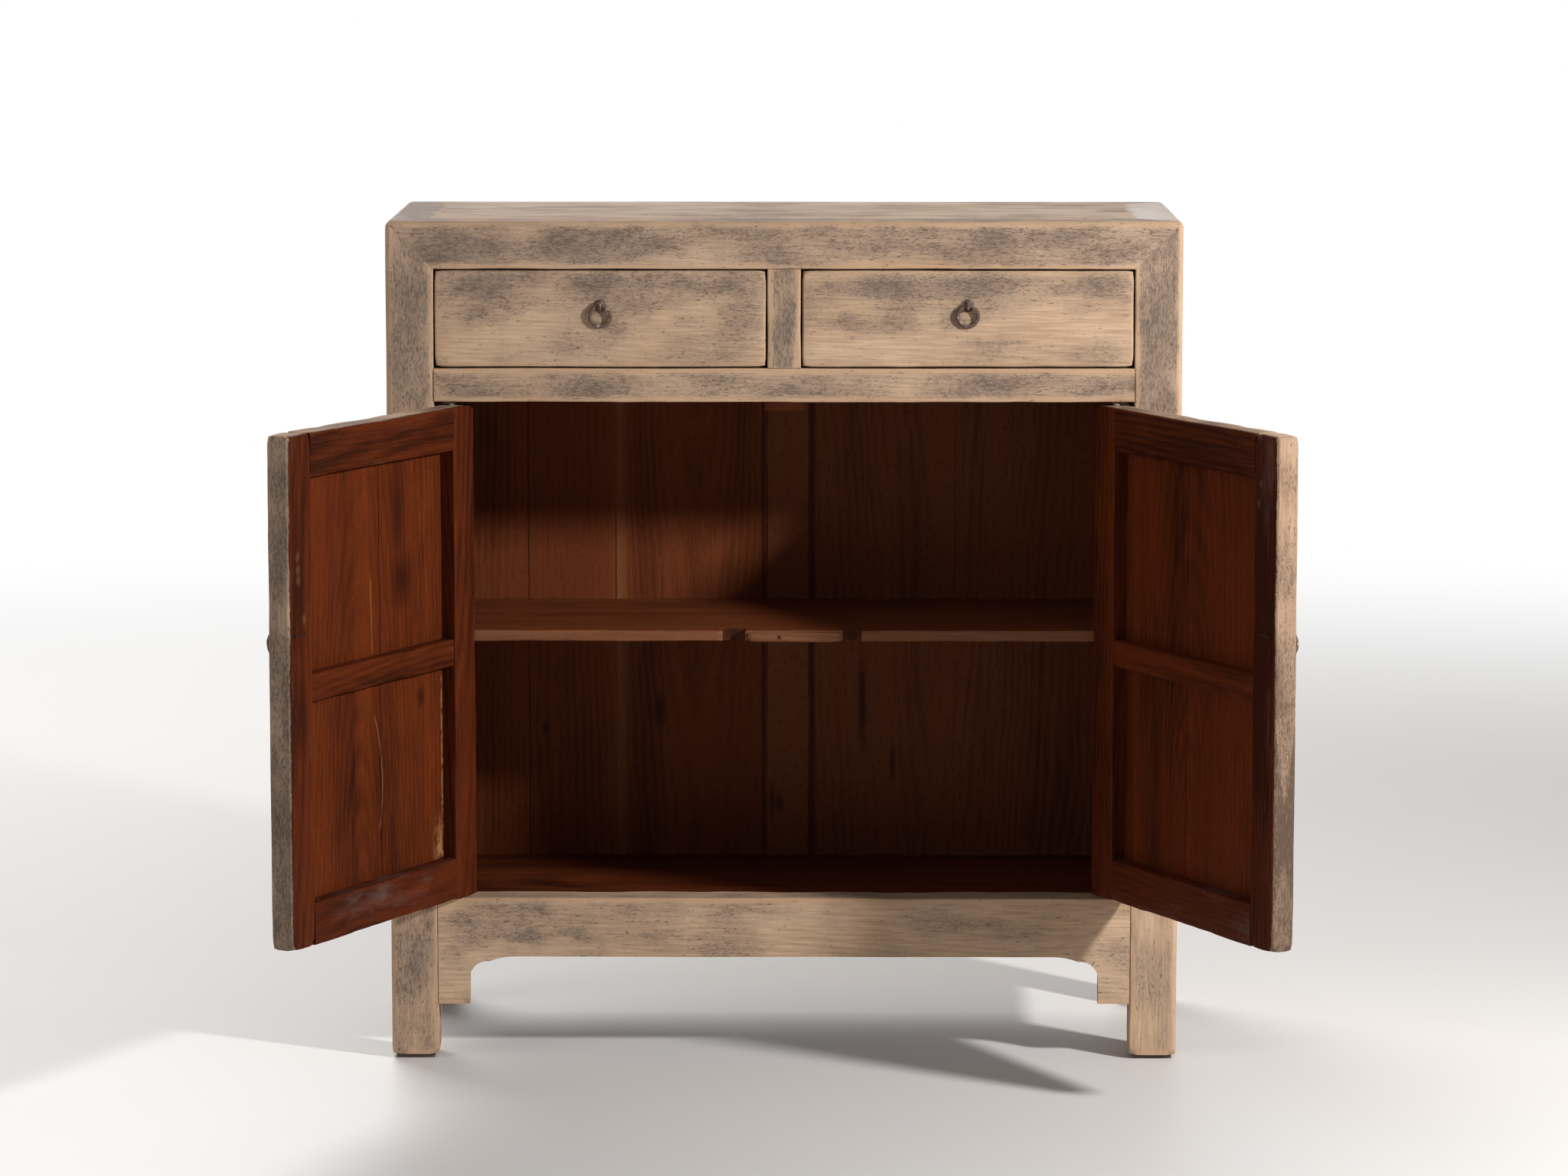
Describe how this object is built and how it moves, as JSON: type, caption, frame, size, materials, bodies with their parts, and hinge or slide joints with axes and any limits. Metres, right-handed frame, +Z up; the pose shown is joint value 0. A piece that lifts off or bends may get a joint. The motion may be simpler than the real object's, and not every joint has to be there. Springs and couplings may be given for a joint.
{
  "type": "kang cabinet",
  "caption": "Low cabinet with drawers above pivot-hung doors, a shelf inside, a flush mitred top and a cusped apron between square legs.",
  "frame": {"origin": "on the floor, under the middle of the box that holds the cabinet with its doors open", "axes": "+X to the right across the front, +Y from the front to the back, +Z up"},
  "size_m": [1.1778, 0.725, 1.015],
  "materials": {
    "outer_wood": "dry, bleached, with worn remains of dark paint",
    "door_wood": "satin varnish inside, bleached outside",
    "inner_wood": "satin varnish",
    "drawer_wood": "raw",
    "iron": "forged, dull",
    "pad": "matt"
  },
  "bodies": {
    "carcass": {"back_panel_left": "inner_wood", "back_panel_right": "inner_wood", "back_stile": "inner_wood", "bottom_rail_back": "outer_wood", "bottom_rail_front": "outer_wood", "bottom_rail_left": "outer_wood", "bottom_rail_right": "outer_wood", "door_stop": "inner_wood", "drawer_divider": "outer_wood", "drawer_rail": "outer_wood", "floor_boards": "inner_wood", "foot_pads": "pad", "post_back_left": "outer_wood", "post_back_right": "outer_wood", "post_front_left": "outer_wood", "post_front_right": "outer_wood", "runner_centre": "inner_wood", "runner_left": "inner_wood", "runner_right": "inner_wood", "shelf": "inner_wood", "shelf_bearers": "inner_wood", "side_panel_left": "outer_wood", "side_panel_right": "outer_wood", "top_battens": "inner_wood", "top_boards": "outer_wood", "top_rail_back": "outer_wood", "top_rail_front": "outer_wood", "top_rail_left": "outer_wood", "top_rail_right": "outer_wood"},
    "door_left": {"door_batten_left": "door_wood", "door_bottom_rail_left": "door_wood", "door_hinge_stile_left": "door_wood", "door_lock_stile_left": "door_wood", "door_panel_left": "door_wood", "door_pull_eye_left": "iron", "door_top_rail_left": "door_wood"},
    "door_right": {"door_batten_right": "door_wood", "door_bottom_rail_right": "door_wood", "door_hinge_stile_right": "door_wood", "door_lock_stile_right": "door_wood", "door_panel_right": "door_wood", "door_pull_eye_right": "iron", "door_top_rail_right": "door_wood"},
    "door_ring_left": {"door_pull_ring_left": "iron"},
    "door_ring_right": {"door_pull_ring_right": "iron"},
    "drawer_left": {"drawer_back_left": "drawer_wood", "drawer_bottom_left": "drawer_wood", "drawer_front_left": "outer_wood", "drawer_inner_side_left": "drawer_wood", "drawer_outer_side_left": "drawer_wood", "drawer_pull_eye_left": "iron"},
    "drawer_right": {"drawer_back_right": "drawer_wood", "drawer_bottom_right": "drawer_wood", "drawer_front_right": "outer_wood", "drawer_inner_side_right": "drawer_wood", "drawer_outer_side_right": "drawer_wood", "drawer_pull_eye_right": "iron"},
    "drawer_ring_left": {"drawer_pull_ring_left": "iron"},
    "drawer_ring_right": {"drawer_pull_ring_right": "iron"}
  },
  "joints": [
    {"name": "door_left_hinge", "type": "hinge", "parent": "carcass", "child": "door_left", "pos_m": [-0.397, -0.00246, 0.2005], "axis": [0, 0, 1], "range_deg": [-5, 117]},
    {"name": "drawer_left_slide", "type": "slide", "parent": "carcass", "child": "drawer_left", "axis": [0, -1, 0], "range_m": [0, 0.22]},
    {"name": "drawer_ring_left_swing", "type": "hinge", "parent": "drawer_left", "child": "drawer_ring_left", "pos_m": [-0.219, -0.01906, 0.9145], "axis": [-1, 0, 0], "range_deg": [0, 165]},
    {"name": "door_ring_left_swing", "type": "hinge", "parent": "door_left", "child": "door_ring_left", "pos_m": [-0.58204, -0.32905, 0.565], "axis": [0.454, 0.891, 0], "range_deg": [0, 165]},
    {"name": "door_right_hinge", "type": "hinge", "parent": "carcass", "child": "door_right", "pos_m": [0.397, -0.00246, 0.2005], "axis": [0, 0, -1], "range_deg": [-5, 117]},
    {"name": "drawer_right_slide", "type": "slide", "parent": "carcass", "child": "drawer_right", "axis": [0, -1, 0], "range_m": [0, 0.22]},
    {"name": "drawer_ring_right_swing", "type": "hinge", "parent": "drawer_right", "child": "drawer_ring_right", "pos_m": [0.219, -0.01906, 0.9145], "axis": [-1, 0, 0], "range_deg": [0, 165]},
    {"name": "door_ring_right_swing", "type": "hinge", "parent": "door_right", "child": "door_ring_right", "pos_m": [0.58204, -0.32905, 0.565], "axis": [0.454, -0.891, 0], "range_deg": [0, 165]}
  ]
}
